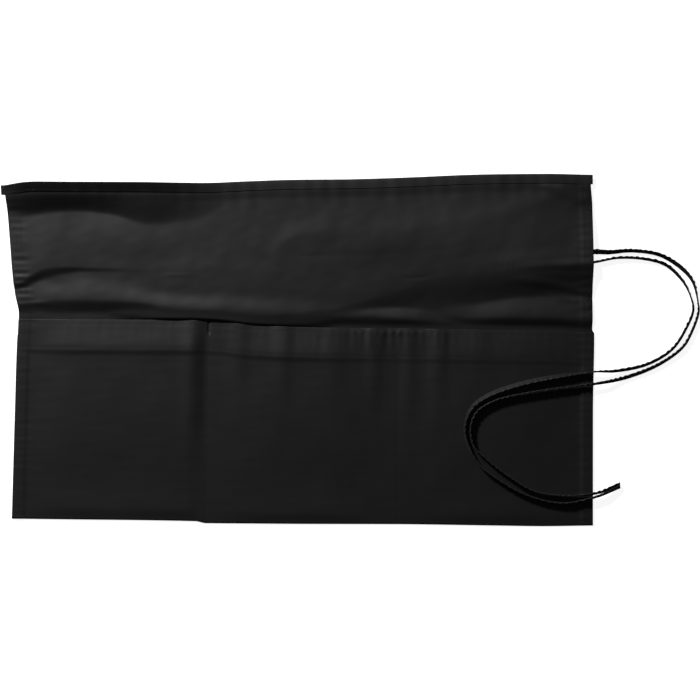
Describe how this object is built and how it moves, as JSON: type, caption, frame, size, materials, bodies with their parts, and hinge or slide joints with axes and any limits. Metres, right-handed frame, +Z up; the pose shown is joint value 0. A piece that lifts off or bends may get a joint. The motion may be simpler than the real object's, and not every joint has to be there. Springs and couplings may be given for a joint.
{
  "type": "waist apron",
  "caption": "Short waist apron in plain dark cloth, with a row of pockets along its lower half and two tape ties, lying face up.",
  "frame": {"origin": "on the surface that the apron lies on, under the middle of the sewn pieces, without the ties", "axes": "+X to the apron's right as seen from above, +Y towards its waistband, +Z up"},
  "size_m": [0.7294, 0.369, 0.0154],
  "materials": {
    "cloth": "matte black cotton and polyester twill",
    "tape": "matte black folded tape, sewn along its edge"
  },
  "bodies": {
    "root": {"body_panel": "cloth", "pocket_panel": "cloth", "waistband": "tape", "tie_left": "tape", "tie_right": "tape"}
  },
  "joints": []
}
